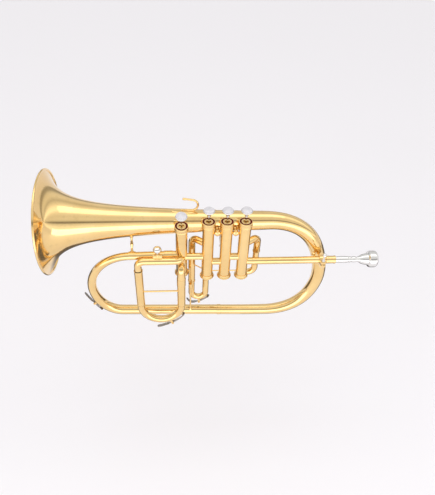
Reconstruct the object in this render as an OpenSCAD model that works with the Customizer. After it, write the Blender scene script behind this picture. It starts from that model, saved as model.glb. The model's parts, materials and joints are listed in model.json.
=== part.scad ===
// Four-valve piston flugelhorn in B flat, as separate pieces.
// X runs along the bell from its mouth towards the player, Y to the player's right, Z up.
// The origin is the middle of the bell's mouth.

/* [Bell] */
// Radius of the bell's mouth
bell_r = 80; // [76:0.5:82]
// Wall of the bell and bows
wall = 0.7; // [0.6:0.05:0.9]
// Where the bell's tail ends
bell_len = 246; // [240:1:249]

/* [Valves] */
// Distance between the first three valves
pitch = 27.7; // [27.2:0.1:28.2]
// Radius of a casing
case_r = 9.0; // [8.9:0.05:9.2]
// Radial clearance of a piston in its casing
piston_gap = 0.04; // [0.02:0.01:0.08]
// Travel of a valve
stroke = 13; // [11:0.5:13]
// Lean of the fourth valve
lean = 8.8; // [7:0.2:9.6]
// Radius of a finger button
button_r = 8.9; // [8:0.1:9.2]

/* [Slides] */
// Outside radius of the outer tubes of slides 1 to 3
tube_r = 5.6; // [5.4:0.05:5.7]
// Outside radius of the outer tubes of slide 4
tube4_r = 6.6; // [6.4:0.05:6.8]
// Radial clearance between a crook's leg and its tube
slide_gap = 0.04; // [0.02:0.01:0.08]

/* [Mouthpiece] */
// Radius of the mouthpiece's rim
rim_r = 13.5; // [13:0.1:13.8]

/* [Hidden] */
$fn = 64;

brass = [0.86, 0.66, 0.30];
silver = [0.88, 0.88, 0.87];

// Valve row: y of the row, and the x of each valve's axis
vy = -26.6;
vx = [295.8, 295.8 - pitch, 295.8 - 2 * pitch, 200.1];
lead_z = -60.5;
v4y = -26.2;
v4z = -39.1;
mid_z = -38.85;
cap_top = 18.8;
cap_bot = -96.5;
case_in = case_r - 0.66;
piston_r = case_in - piston_gap;
knee_r = 5.7;
port_r = 4.6;
kz43 = -49.5;
kz32 = -60.3;
kz21 = -50.6;
exit_z = -45.3;

// Slide planes and ends
sy = -8.6;
s1x = [320.3, 298.2];
s3x = [216.5, 240.2];
s13_top = -25.6;
in_r = tube_r - 0.52;
leg_r = in_r - slide_gap;
s4y = -39.5;
s4x = [132.8, 199.1];
s4top = -47.2;
in4_r = tube4_r - 0.58;
leg4_r = in4_r - slide_gap;

// Outside radius of the bell at a distance x from its mouth
function bell_at(x) = bell_r * (0.008844 + 0.0000598 * x + 3.7258 / pow(x + 11.25, 0.5471))
    + 2.5 * (1 - exp(-x / 11)) * (1 - pow(x / 330, 1.6));
function unit(v) = v / norm(v);
function smooth(u) = u * u * (3 - 2 * u);

// A pipe swept along points P with outer radii A and inner radii B, as one closed skin
function hoop(c, t, ref, r, n) = let (b = unit(cross(t, ref)), m = cross(b, t))
    [for (k = [0:n - 1]) c + r * (cos(360 * k / n) * b + sin(360 * k / n) * m)];
function heading(P, i) = unit(P[min(i + 1, len(P) - 1)] - P[max(i - 1, 0)]);
module swept_pipe(P, A, B, n, ref) {
    L = len(P);
    pts = concat([for (i = [0:L - 1]) each hoop(P[i], heading(P, i), ref, A[i], n)],
                 [for (i = [0:L - 1]) each hoop(P[i], heading(P, i), ref, B[i], n)]);
    o = L * n;
    faces = [for (i = [0:L - 2], k = [0:n - 1]) let (q = (k + 1) % n, a = i * n)
                each [[a + k, a + q, a + n + q], [a + k, a + n + q, a + n + k],
                      [o + a + k, o + a + n + q, o + a + q], [o + a + k, o + a + n + k, o + a + n + q]],
             for (k = [0:n - 1]) let (q = (k + 1) % n, e = (L - 1) * n)
                each [[k, o + k, o + q], [k, o + q, q], [e + k, e + q, o + e + q], [e + k, o + e + q, o + e + k]]];
    polyhedron(pts, faces);
}
module swept_rod(P, r, n, ref) {
    L = len(P);
    pts = [for (i = [0:L - 1]) each hoop(P[i], heading(P, i), ref, r, n)];
    faces = concat([for (i = [0:L - 2], k = [0:n - 1]) let (q = (k + 1) % n, a = i * n)
                        each [[a + k, a + q, a + n + q], [a + k, a + n + q, a + n + k]]],
                   [[for (k = [n - 1:-1:0]) k], [for (k = [0:n - 1]) (L - 1) * n + k]]);
    polyhedron(pts, faces);
}

// A round rod from p to q, with radius a at p and b at q
module rod(p, q, a, b) {
    d = q - p;
    translate(p) rotate([0, acos(d[2] / norm(d)), atan2(d[1], d[0])]) cylinder(h = norm(d), r1 = a, r2 = b);
}
// A quarter or other arc of rod: plane through Z and the heading az, centre c, from angle t0 to t1
module arc_rod(c, az, R, t0, t1, r) {
    translate(c) rotate([90, 0, az]) rotate([0, 0, t0]) rotate_extrude(angle = t1 - t0, $fn = 96) translate([R, 0]) circle(r, $fn = 48);
}
// A turned piece along X: points are [x, radius]
module turned_x(pts) {
    rotate([0, 90, 0]) rotate_extrude() polygon([for (p = pts) [p[1], p[0]]]);
}
// Puts children into the frame of valve k, whose own z runs along its casing
module at_valve(k) {
    if (k < 4) translate([vx[k - 1], vy, 0]) children();
    else translate([vx[3], v4y, v4z]) rotate([lean, 0, 0]) translate([0, 0, -mid_z]) children();
}

// ---------- bell and bows ----------
bx = [for (i = [0:34]) bell_len * pow(i / 34, 1.9)];
module bell() {
    color(brass) turned_x(concat([for (x = bx) [max(x, 0.01), min(bell_at(x), bell_r - 2.4)]],
        [for (i = [34:-1:0]) [max(bx[i], 0.01), min(bell_at(bx[i] + 0.45 * exp(-bx[i] / 9)), bell_r - 2.4) - wall]]));
}
module bell_rim_ring() {
    color(brass) translate([0.8, 0, 0]) rotate([0, 90, 0]) rotate_extrude($fn = 96) translate([bell_r - 1.7, 0]) circle(1.7, $fn = 32);
}
module bell_tail_ferrule() {
    a = bell_len - 5;
    b = bell_len + 7;
    color(brass) turned_x([[a, bell_at(a) + 0.03], [a, bell_at(a) + 0.3], [a + 1, bell_at(a + 1) + 0.4], [b - 1, bell_at(b - 1) + 0.4],
        [b, bell_at(b) + 0.3], [b, bell_at(b) + 0.03]]);
}
// Back bow: straight tail, a tall quarter oval, a lower quarter oval, then the bottom branch
back_top = [for (x = [bell_len + 0.2, 268, 292, 312]) [x, 0, 0]];
// How far the oval bulges out beyond two plain ellipse quarters, u running from 0 to 1 along the bulge
function bulge(u) = u <= 0 || u >= 1 ? 0 : pow(sin(180 * u), 1.5);
back_up = [for (i = [0:13]) let (a = 90 - i * 90 / 14, g = 3.9 * bulge((90 - a) / 72))
    [328.8 + (104 + g) * cos(a), sy * smooth((90 - a) / 180), -112 + (112 + g) * sin(a)]];
back_low = [for (i = [0:14]) let (a = -i * 90 / 14, g = 2.6 * bulge((-a - 15) / 75))
    [344.8 + (88 + g) * cos(a), sy * smooth((90 - a) / 180), -112 + (82.9 + g) * sin(a)]];
back_bot = [[320, sy, -194.9], [290, sy, -194.1], [265.2, sy, -193.1]];
function bow_r(u) = 8.95 + 4.25 * (1 - u) + 1.75 * pow(1 - u, 8);
back_path = concat(back_top, back_up, back_low, back_bot);
back_r = concat([for (p = back_top) bell_at(p[0])], [for (i = [0:13]) bow_r(i / 28)],
    [for (i = [0:14]) bow_r(0.5 + i / 28)], [8.9, 8.8, 8.7]);
module back_bow() {
    color(brass) swept_pipe(back_path, back_r, [for (r = back_r) r - wall], 28, [0, 1, 0]);
}
module bottom_ferrule() {
    color(brass) turned_at([261.8, 268.4], [sy, -193], 8.73, 9.25);
}
// A plain sleeve along X with softened outer edges
module turned_at(x, yz, ri, ro) {
    translate([0, yz[0], yz[1]]) turned_x([[x[0], ri], [x[0], ro - 0.3], [x[0] + 0.3, ro], [x[1] - 0.3, ro], [x[1], ro - 0.3], [x[1], ri]]);
}
front_top = [for (x = [179, 160, 140, 128]) [x, vy, exit_z - (179 - x) * 0.03]];
front_up = [for (i = [0:13]) let (a = 90 - i * 90 / 14) [121.3 - 68 * cos(a), vy + 18 * smooth((90 - a) / 180), -122 + 74.6 * sin(a)]];
front_low = [for (i = [0:12]) let (a = -i * 90 / 12) [99.3 - 46 * cos(a), vy + 18 * smooth((90 - a) / 180), -122 + 66 * sin(a)]];
front_bot = [[115, sy, -188.6], [150, sy, -189.7], [200, sy, -191.2], [240, sy, -192.4], [265, sy, -193]];
front_path = concat(front_top, front_up, front_low, front_bot);
front_r = [for (i = [0:len(front_path) - 1]) let (u = i / (len(front_path) - 1))
    i < 4 ? 6.2 : i < 31 ? 6.2 + 2.2 * smooth((i - 4) / 27) : 8.4 + 0.3 * (i - 31) / (len(front_path) - 32)];
module front_bow() {
    color(brass) swept_pipe(front_path, front_r, [for (r = front_r) r - wall], 28, [0, 1, 0]);
}
module exit_ferrule() {
    color(brass) turned_at([173, 186.5], [vy, exit_z], 6.22, 6.7);
}

// ---------- casings ----------
// Airway through the walls, as rods in the horn's frame
module ports(k) {
    if (k == 1) {
        rod([vx[0], vy, lead_z], [vx[0] + 12, vy, lead_z], port_r, port_r);
        rod([vx[0] - 12, vy, kz21], [vx[0], vy, kz21], port_r, port_r);
        rod([vx[0], vy, s13_top], [vx[0] + 9.7, vy + 7.1, s13_top], port_r - 0.1, port_r - 0.1);
        rod([s1x[1], vy, -52], [s1x[1], vy + 12, -52], port_r - 0.6, port_r - 0.6);
    }
    if (k == 2) {
        rod([vx[1], vy, kz21], [vx[1] + 12, vy, kz21], port_r, port_r);
        rod([vx[1] - 12, vy, kz32], [vx[1], vy, kz32], port_r, port_r);
        for (z = [-35, -57]) rod([vx[1], vy, z], [vx[1], vy + 12, z], port_r - 0.1, port_r - 0.1);
    }
    if (k == 3) {
        rod([vx[2], vy, kz32], [vx[2] + 12, vy, kz32], port_r, port_r);
        rod([vx[2] - 12, vy, kz43], [vx[2], vy, kz43], port_r, port_r);
        rod([vx[2], vy, s13_top], [vx[2] - 9.6, vy + 7.2, s13_top], port_r - 0.1, port_r - 0.1);
        rod([vx[2], vy, -72], [vx[2], vy + 12, -72], port_r - 0.1, port_r - 0.1);
    }
    if (k == 4) {
        rod([vx[3], vy, kz43], [vx[3] + 12, vy, kz43], port_r, port_r);
        rod([vx[3] - 12, vy, exit_z], [vx[3], vy, exit_z], port_r, port_r);
        rod([vx[3], vy - 12, s4top], [vx[3], vy, s4top], port_r, port_r);
        rod([s4x[1], vy - 12, -64], [s4x[1], vy, -64], port_r, port_r);
    }
}
module casing_body(k) {
    color(brass) difference() {
        at_valve(k) translate([0, 0, -91]) cylinder(h = 105, r = case_r, $fn = 96);
        at_valve(k) translate([0, 0, -92]) cylinder(h = 107, r = case_in, $fn = 96);
        ports(k);
    }
}
module casing_1() { casing_body(1); }
module casing_2() { casing_body(2); }
module casing_3() { casing_body(3); }
module casing_4() { casing_body(4); }
// The outside of a casing, to cope the tubes that meet it
module case_core(k) {
    at_valve(k) translate([0, 0, -91]) cylinder(h = 105, r = case_r, $fn = 96);
}
module knuckle(xa, xb, z, a, b) {
    difference() {
        rod([xa, vy, z], [xb, vy, z], knee_r, knee_r);
        rod([xa - 1, vy, z], [xb + 1, vy, z], port_r, port_r);
        case_core(a);
        if (b > 0) case_core(b);
    }
}
module valve_knuckles() {
    color(brass) {
        knuckle(vx[1], vx[0], kz21, 1, 2);
        knuckle(vx[2], vx[1], kz32, 2, 3);
        knuckle(vx[3], vx[2], kz43, 3, 4);
        difference() {
            rod([179.2, vy, exit_z], [vx[3], vy, exit_z], 6.2, 6.2);
            rod([178, vy, exit_z], [vx[3] + 1, vy, exit_z], 5.5, 5.5);
            case_core(4);
        }
    }
}
// Top cap: threaded skirt, rolled edge, groove for its felt, raised collar round the stem
module top_cap() {
    rotate_extrude($fn = 96) polygon([[case_r, 8.5], [10.0, 8.5], [10.3, 8.9], [10.3, 10.4], [9.9, 10.9], [9.9, 12.2],
        [10.45, 12.8], [10.45, 18.0], [9.9, 18.8], [9.25, 18.8], [9.25, 17.2], [6.75, 17.2], [6.75, 18.5], [6.4, 18.8],
        [4.3, 18.8], [3.95, 18.5], [3.95, 15.1], [2.15, 15.1], [2.15, 12.2], [8.2, 12.2], [8.2, 14.1], [case_r, 14.1]]);
}
module top_caps() {
    color(brass) for (k = [1:4]) at_valve(k) top_cap();
}
// Bottom cap: threaded skirt, wide flange, dished floor with a vented nipple
module bottom_cap() {
    rotate_extrude($fn = 96) polygon([[2.0, -94.2], [7.9, -94.2], [7.9, -91.1], [case_r, -91.1], [case_r, -85.5], [9.7, -85.5],
        [10.0, -85.9], [10.1, -88.6], [11.3, -89.6], [11.4, -90.2], [11.1, -91.1], [10.0, -92.0], [8.6, -93.9],
        [6.6, -95.0], [4.4, -95.4], [4.0, -96.2], [3.5, -96.5], [2.0, -96.5]]);
}
module bottom_caps() {
    color(brass) for (k = [1:4]) at_valve(k) bottom_cap();
}
module cap_felts() {
    color([0.42, 0.07, 0.07]) for (k = [1:4]) at_valve(k) {
        rotate_extrude($fn = 96) polygon([[6.8, 17.2], [9.2, 17.2], [9.2, 18.3], [8.9, 18.6], [7.1, 18.6], [6.8, 18.3]]);
        rotate_extrude() polygon([[2.4, 10.15], [7.0, 10.15], [7.0, 12.2], [2.4, 12.2]]);
    }
}

// ---------- leadpipe, clamp, tuning pipe, mouthpiece ----------
module leadpipe() {
    color(brass) difference() {
        union() {
            rod([vx[0], vy, lead_z], [430.8, vy, lead_z], 5.8, 5.8);
            translate([0, vy, lead_z]) turned_x([[311.5, 5], [311.5, 6.1], [312, 6.3], [315, 6.3], [315.5, 6.1], [315.5, 5]]);
        }
        rod([vx[0] - 1, vy, lead_z], [384, vy, lead_z], port_r, port_r);
        rod([383.9, vy, lead_z], [432, vy, lead_z], 5.3, 5.3);
        case_core(1);
    }
}
clamp_x = 424.2;
screw_y = -36.4;
module leadpipe_clamp() {
    color(brass) difference() {
        union() {
            translate([0, vy, lead_z]) turned_x([[419.4, 4], [419.4, 7.6], [420, 8.1], [428.4, 8.1], [429, 7.6], [429, 4]]);
            translate([420.2, -39.4, lead_z - 5.6]) cube([8, 7.4, 11.2]);
        }
        rod([418, vy, lead_z], [431, vy, lead_z], 5.8, 5.8);
        translate([419, -41, lead_z - 0.8]) cube([11, 11, 1.6]);
        translate([clamp_x, screw_y, lead_z - 10]) cylinder(h = 20, r = 1.6);
    }
}
// Thumb screw: ball head on a waisted neck, long shank through both lugs, and its end nut
module clamp_screw() {
    color(silver) translate([clamp_x, screw_y, 0]) rotate_extrude() polygon(concat(
        [[0, lead_z - 8.6], [1.0, lead_z - 8.6], [1.5, lead_z - 8.2], [1.5, lead_z + 5.9], [3.0, lead_z + 5.9], [3.0, lead_z + 7.4],
         [1.6, lead_z + 8.6], [1.6, lead_z + 14.2], [2.4, lead_z + 15.2]],
        [for (a = [-50:20:70]) [3.3 * cos(a), lead_z + 18.0 + 3.3 * sin(a)]], [[0, lead_z + 21.3]]));
}
module leadpipe_brace() {
    color(brass) difference() {
        union() {
            rod([414.6, -24, lead_z], [414.6, -13.0, lead_z], 2.0, 2.0);
            rod([414.6, -21.9, lead_z], [414.6, -20.0, lead_z], 3.4, 3.0);
            rod([414.6, -15.2, lead_z], [414.6, -13.2, lead_z], 2.4, 3.4);
        }
        rod([400, vy, lead_z], [430, vy, lead_z], 5.8, 5.8);
    }
}
module tuning_pipe() {
    color(brass) translate([0, vy, lead_z]) rotate([0, 90, 0]) rotate_extrude() polygon([[4.55, 388], [5.26, 388], [5.26, 431.2],
        [6.3, 431.2], [6.5, 431.6], [6.5, 434.2], [6.25, 434.7], [6.25, 443.6], [6.6, 444.2], [6.6, 446.4], [6.3, 446.9],
        [5.16, 446.9], [4.86, 424.2], [4.55, 424.2]]);
}
// Mouthpiece: tapered shank, turned beads, cup, rounded rim, throat and backbore
module mouthpiece() {
    color(silver) translate([0, vy, lead_z]) rotate([0, 90, 0]) rotate_extrude($fn = 96) polygon(concat(
        [[4.0, 424.6], [4.8, 424.6], [5.1, 446.9], [5.35, 458], [5.35, 467.4], [4.5, 468.2], [4.5, 468.8], [5.05, 469.4],
         [5.05, 471.6], [4.2, 472.6], [4.2, 473.8], [4.95, 474.8], [4.95, 479.4], [4.2, 481.0], [4.1, 483.4], [4.8, 485.4],
         [6.3, 487.6], [7.7, 490.0], [8.6, 493.0], [9.3, 497.0], [9.7, 499.6], [11.0, 500.4], [rim_r - 0.8, 501.6],
         [rim_r - 0.2, 503.2], [rim_r, 505.4], [rim_r, 510.2],
         [rim_r - 0.45, 512.4], [rim_r - 1.5, 514.2], [rim_r - 2.9, 514.9], [rim_r - 4.0, 514.5], [rim_r - 4.7, 513.2]],
        [for (i = [1:8]) let (u = i / 8) [1.9 + 6.3 * sqrt(1 - u * u * 0.999), 512.4 - 15 * u]], [[1.9, 492], [3.6, 440]]));
}

// ---------- slide 1 ----------
a1 = atan2(sy - vy, s1x[0] - vx[0]);
d1 = norm([sy - vy, s1x[0] - vx[0]]);
a3 = atan2(sy - vy, s3x[0] - vx[2]);
d3 = norm([sy - vy, s3x[0] - vx[2]]);
// Drawn with X along its heading: a level stub, a quarter bend, and a leg down to zend
module top_elbow(d, zend, r) {
    translate([0, 0, s13_top]) rotate([0, 90, 0]) cylinder(h = d - 10, r = r);
    translate([d - 10, 0, s13_top - 10]) rotate([90, 0, 0]) rotate_extrude(angle = 90, $fn = 96) translate([10, 0]) circle(r, $fn = 48);
    translate([d, 0, zend]) cylinder(h = s13_top - 10 - zend, r = r);
}
module heading_from(o, az) {
    translate([o[0], o[1], 0]) rotate([0, 0, az]) children();
}
module back_elbow(x, ztop, zend, r) {
    rod([x, vy, ztop], [x, sy - 7.5, ztop], r, r);
    arc_rod([x, sy - 7.5, ztop - 7.5], -90, 7.5, 90, 180, r);
    rod([x, sy, zend], [x, sy, ztop - 7.5], r, r);
}
// A rounded ring soldered on a tube's end, tube running down Z
module end_ring(p, r) {
    translate(p) rotate_extrude() polygon([[r - 0.4, 0], [r + 0.25, 0], [r + 0.6, 0.4], [r + 0.6, 1.4], [r + 0.25, 1.9], [r - 0.4, 1.9]]);
}
s1_end = [-55.5, -80];
module slide_1_tubes() {
    color(brass) difference() {
        union() {
            heading_from([vx[0], vy], a1) {
                top_elbow(d1, s1_end[0], tube_r);
                end_ring([d1, 0, s1_end[0]], tube_r);
            }
            back_elbow(s1x[1], -52, s1_end[1], tube_r);
            end_ring([s1x[1], sy, s1_end[1]], tube_r);
        }
        heading_from([vx[0], vy], a1) {
            top_elbow(d1, s1_end[0] + 19, port_r);
            translate([d1, 0, s1_end[0] - 1]) cylinder(h = 20.5, r = in_r);
        }
        back_elbow(s1x[1], -52, s1_end[1] + 19, port_r);
        rod([s1x[1], sy, s1_end[1] - 1], [s1x[1], sy, s1_end[1] + 19.5], in_r, in_r);
        case_core(1);
    }
}
module u_crook(x, zc, tops, thick, y, rl, rb, ri) {
    R = abs(x[1] - x[0]) / 2;
    xm = (x[0] + x[1]) / 2;
    difference() {
        union() {
            for (i = [0, 1]) {
                rod([x[i], y, thick[i]], [x[i], y, tops[i]], rl, rl);
                rod([x[i], y, zc], [x[i], y, thick[i]], rb, rb);
            }
            arc_rod([xm, y, zc], 0, R, 180, 360, rb);
        }
        for (i = [0, 1]) rod([x[i], y, zc], [x[i], y, tops[i] + 1], ri, ri);
        arc_rod([xm, y, zc], 0, R, 180, 360, ri);
    }
}
module slide_1_crook() {
    color(brass) u_crook(s1x, -90, [s1_end[0] + 18, s1_end[1] + 18], [-82, -81], sy, leg_r, 5.3, leg_r - 0.45);
}
// ---------- slide 2, level, behind its valve ----------
s2z = [-35, -57];
s2_end = 8;
module slide_2_tubes() {
    color(brass) difference() {
        union() for (z = s2z) {
            rod([vx[1], vy, z], [vx[1], s2_end, z], tube_r, tube_r);
            translate([vx[1], s2_end, z]) rotate([90, 0, 0]) end_ring([0, 0, 0], tube_r);
        }
        for (z = s2z) {
            rod([vx[1], vy, z], [vx[1], -15.5, z], port_r, port_r);
            rod([vx[1], -15.6, z], [vx[1], s2_end + 1, z], in_r, in_r);
        }
        case_core(2);
    }
}
module slide_2_crook() {
    y0 = -14.6;
    y1 = s2_end + 4;
    color(brass) difference() {
        union() {
            for (z = s2z) {
                rod([vx[1], y0, z], [vx[1], s2_end + 0.6, z], leg_r, leg_r);
                rod([vx[1], s2_end + 0.6, z], [vx[1], y1, z], 5.3, 5.3);
            }
            arc_rod([vx[1], y1, -46], 90, 11, -90, 90, 5.3);
            translate([vx[1], y1 + 15.6, -46]) rotate([-90, 0, 0]) rotate_extrude() polygon([[0, 0], [1.5, 0], [1.2, 2.4], [2.6, 3.6], [3.0, 5.0], [2.4, 6.4], [0, 7]]);
        }
        for (z = s2z) rod([vx[1], y0 - 1, z], [vx[1], y1, z], leg_r - 0.45, leg_r - 0.45);
        arc_rod([vx[1], y1, -46], 90, 11, -90, 90, leg_r - 0.45);
    }
}
// ---------- slide 3 ----------
s3_end = [-120, -113];
s3_c = -146.4;
module slide_3_tubes() {
    color(brass) difference() {
        union() {
            heading_from([vx[2], vy], a3) {
                top_elbow(d3, s3_end[0], tube_r);
                end_ring([d3, 0, s3_end[0]], tube_r);
            }
            back_elbow(s3x[1], -72, s3_end[1], tube_r);
            end_ring([s3x[1], sy, s3_end[1]], tube_r);
        }
        heading_from([vx[2], vy], a3) {
            top_elbow(d3, s3_end[0] + 28.5, port_r);
            translate([d3, 0, s3_end[0] - 1]) cylinder(h = 30, r = in_r);
        }
        back_elbow(s3x[1], -72, s3_end[1] + 25, port_r);
        rod([s3x[1], sy, s3_end[1] - 1], [s3x[1], sy, s3_end[1] + 25.5], in_r, in_r);
        case_core(3);
    }
}
module slide_3_crook() {
    color(brass) {
        difference() {
            union() {
                u_crook(s3x, s3_c, [s3_end[0] + 26, s3_end[1] + 23], [s3_end[0] - 3, s3_end[1] - 3], sy, leg_r, 5.25, leg_r - 0.45);
                key_saddle(k3_p, sy, k3_pa, 7.7);
                key_nipple(k3_n, sy, k3_na, 0.5);
            }
            translate([k3_n[0], sy, k3_n[1]]) rotate([0, 90 - k3_na, 0]) translate([0, 0, -1.5]) cylinder(h = 5, r = 0.8);
        }
    }
}
// ---------- slide 4, in front of the bottom branch ----------
s4_end = [-141, -143.5];
s4_c = -146.8;
module s4_run(r) {
    rod([s4x[0] + 10, s4y, s4top], [vx[3] - 10, s4y, s4top], r, r);
    arc_rod([s4x[0] + 10, s4y, s4top - 10], 0, 10, 90, 180, r);
    translate([vx[3] - 10, s4y + 10, s4top]) rotate([0, 0, -90]) rotate_extrude(angle = 90, $fn = 96) translate([10, 0]) circle(r, $fn = 48);
    rod([vx[3], s4y + 10, s4top], [vx[3], vy, s4top], r, r);
}
module s4_drop(r) {
    rod([s4x[1], vy, -64], [s4x[1], s4y + 9, -64], r, r);
    arc_rod([s4x[1], s4y + 9, -73], -90, 9, 0, 90, r);
}
module slide_4_tubes() {
    color(brass) difference() {
        union() {
            s4_run(5.8);
            s4_drop(5.8);
            rod([s4x[0], s4y, s4_end[0]], [s4x[0], s4y, s4top - 10], tube4_r, 5.8);
            rod([s4x[0], s4y, s4_end[0]], [s4x[0], s4y, s4top - 18], tube4_r, tube4_r);
            rod([s4x[1], s4y, s4_end[1]], [s4x[1], s4y, -84], tube4_r, tube4_r);
            rod([s4x[1], s4y, -84.05], [s4x[1], s4y, -72.95], tube4_r + 0.3, 5.85);
            end_ring([s4x[0], s4y, s4top - 19.9], tube4_r - 0.25);
            rod([s4x[1], s4y, -99], [s4x[1], s4y, -84.05], tube4_r + 0.5, tube4_r + 0.5);
            end_ring([s4x[1], s4y, -99], tube4_r - 0.05);
        }
        s4_run(port_r);
        s4_drop(port_r);
        rod([s4x[0], s4y, s4top - 17], [s4x[0], s4y, s4top - 9.9], port_r, port_r);
        rod([s4x[1], s4y, -84], [s4x[1], s4y, -72.9], port_r, port_r);
        rod([s4x[0], s4y, s4_end[0] - 1], [s4x[0], s4y, s4top - 17], in4_r, in4_r);
        rod([s4x[1], s4y, s4_end[1] - 1], [s4x[1], s4y, -83.9], in4_r, in4_r);
        case_core(4);
    }
}
module slide_4_cross_brace() {
    color(brass) difference() {
        rod([s4x[0], s4y, -112.5], [s4x[1], s4y, -112.5], 1.5, 1.5);
        for (x = s4x) rod([x, s4y, -120], [x, s4y, -105], tube4_r, tube4_r);
    }
}
module slide_4_crook() {
    color(brass) {
        difference() {
            union() {
                u_crook(s4x, s4_c, [-90, -92], [s4_end[0] - 0.5, s4_end[1] - 0.5], s4y, leg4_r, 6.15, leg4_r - 0.5);
                for (i = [0, 1]) end_ring([s4x[i], s4y, s4_end[i] - 2.5], 6.1);
                key_saddle(k4_p, s4y, k4_pa, 6.9);
                key_nipple(k4_n, s4y, k4_na, 0.5);
            }
            translate([k4_n[0], s4y, k4_n[1]]) rotate([0, 90 - k4_na, 0]) translate([0, 0, -1.5]) cylinder(h = 5, r = 0.8);
        }
    }
}

// ---------- water keys ----------
// Each key: pivot p, the tube's outward heading at the pivot pa, its nipple n and outward heading na, all in the XZ plane
s4_mx = (s4x[0] + s4x[1]) / 2;
s4_or = (s4x[1] - s4x[0]) / 2 + 6.15;
k4_pa = -66.5;
k4_p = [s4_mx + (s4_or + 5.7) * cos(k4_pa), s4_c + (s4_or + 5.7) * sin(k4_pa)];
k4_na = -31;
k4_n = [s4_mx + s4_or * cos(k4_na), s4_c + s4_or * sin(k4_na)];
s3_mx = (s3x[0] + s3x[1]) / 2;
s3_or = (s3x[1] - s3x[0]) / 2 + 5.25;
k3_pa = -87;
k3_p = [s3_mx + (s3_or + 6.4) * cos(k3_pa), s3_c + (s3_or + 6.4) * sin(k3_pa)];
k3_na = -35;
k3_n = [s3_mx + s3_or * cos(k3_na), s3_c + s3_or * sin(k3_na)];
kf_y = -11.9;
kf_pa = -154;
kf_p = [51.3, -164.9];
kf_na = -140;
kf_n = [63.5, -177.7];
// Where the middle of a lever's cup lies, and so how long and how turned its arm is
function cup_at(n, na) = n + 4.16 * [cos(na), sin(na)];
function arm_len(p, n, na) = norm(cup_at(n, na) - p);
function arm_dir(p, n, na) = let (d = cup_at(n, na) - p) atan2(d[1], d[0]);
// Saddle: two small ears on the tube with the pivot pin across them
module key_saddle(p, y, pa, h) {
    translate([p[0], y, p[1]]) rotate([90, 0, 0]) {
        for (s = [-1, 1]) translate([0, 0, s * 3.1 - 0.5]) linear_extrude(1.0) rotate(pa + 90) {
            circle(2.0, $fn = 32);
            translate([-2, 0]) square([4, h]);
        }
        translate([0, 0, -4.4]) cylinder(h = 8.8, r = 0.85);
        translate([0, 0, -4.4]) cylinder(h = 0.8, r = 1.5);
        translate([0, 0, 3.6]) cylinder(h = 0.8, r = 1.3);
    }
}
module key_nipple(n, y, na, inside) {
    translate([n[0], y, n[1]]) rotate([0, 90 - na, 0]) difference() {
        translate([0, 0, -inside]) cylinder(h = 1.6 + inside, r1 = 2.3, r2 = 1.7);
        translate([0, 0, -inside - 1]) cylinder(h = 4 + inside, r = 0.8);
    }
}
// A strip of metal seen edge on, along the points P, with half thicknesses H
function side_of(P, i) = let (a = P[max(i - 1, 0)], b = P[min(i + 1, len(P) - 1)], d = (b - a) / norm(b - a)) [-d[1], d[0]];
function strip(P, H) = concat([for (i = [0:len(P) - 1]) P[i] + H[i] * side_of(P, i)], [for (i = [len(P) - 1:-1:0]) P[i] - H[i] * side_of(P, i)]);
function bowed(q, bulge, n) = let (m = q / 2 + bulge * [q[1], -q[0]] / norm(q)) [for (i = [0:n]) let (u = i / n) 2 * u * (1 - u) * m + u * u * q];
// Lever: barrel round the pin, bowed arm, cup, and a finger tab along the points T from the pivot
module key_lever(p, y, n, na, bulge, T) {
    arm = arm_len(p, n, na);
    a = arm_dir(p, n, na);
    q = arm * [cos(a), sin(a)];
    translate([p[0], y, p[1]]) rotate([90, 0, 0]) difference() {
        union() {
            translate([0, 0, -2.4]) cylinder(h = 4.8, r = 1.9);
            translate([0, 0, -1.4]) linear_extrude(2.8) polygon(strip(bowed(q + 0.5 * [cos(na), sin(na)], bulge, 8), [1.5, 1.3, 1.1, 1.0, 0.9, 0.8, 0.7, 0.7, 0.6]));
            translate([0, 0, -1.9]) linear_extrude(3.8) polygon(strip([[0, 0], 3.6 * T[1] / norm(T[1])], [1.4, 0.85]));
            translate([0, 0, -3]) linear_extrude(6) polygon(strip(concat([3.2 * T[1] / norm(T[1])], [for (i = [1:len(T) - 1]) T[i]]), concat([0.8], [for (i = [1:len(T) - 1]) 0.75])));
            translate([q[0], q[1], 0]) rotate([0, 0, na + 90]) rotate([-90, 0, 0]) cylinder(h = 1.3, r = 3.2);
        }
        translate([0, 0, -3.5]) cylinder(h = 7, r = 0.93);
    }
}
module key_cork(p, y, n, na) {
    translate([p[0], y, p[1]]) rotate([90, 0, 0]) rotate(arm_dir(p, n, na)) translate([arm_len(p, n, na), 0, 0])
        rotate([0, 0, na + 90 - arm_dir(p, n, na)]) translate([0, 1.3, 0]) rotate([-90, 0, 0]) cylinder(h = 1.2, r = 2.6);
}
module slide_4_water_key() { color([0.42, 0.41, 0.40]) key_lever(k4_p, s4y, k4_n, k4_na, 3.5, [[0, 0], [-8, -3.6], [-14, -6.3], [-20, -8.6], [-26.5, -10.2]]); }
module slide_4_key_cork() { color([0.22, 0.17, 0.14]) key_cork(k4_p, s4y, k4_n, k4_na); }
module slide_3_water_key() { color([0.42, 0.41, 0.40]) key_lever(k3_p, sy, k3_n, k3_na, 1.5, [[0, 0], [-8, -1.6], [-12.5, -1.5], [-16.5, 0.8], [-19.5, 4.4], [-21.4, 7.6]]); }
module slide_3_key_cork() { color([0.22, 0.17, 0.14]) key_cork(k3_p, sy, k3_n, k3_na); }
module front_water_key() { color([0.42, 0.41, 0.40]) key_lever(kf_p, kf_y, kf_n, kf_na, 1.0, [[0, 0], [-4.4, 6.6], [-7.4, 11.8], [-10.2, 17.5], [-13.6, 24.2]]); }
module front_key_cork() { color([0.22, 0.17, 0.14]) key_cork(kf_p, kf_y, kf_n, kf_na); }
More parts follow.
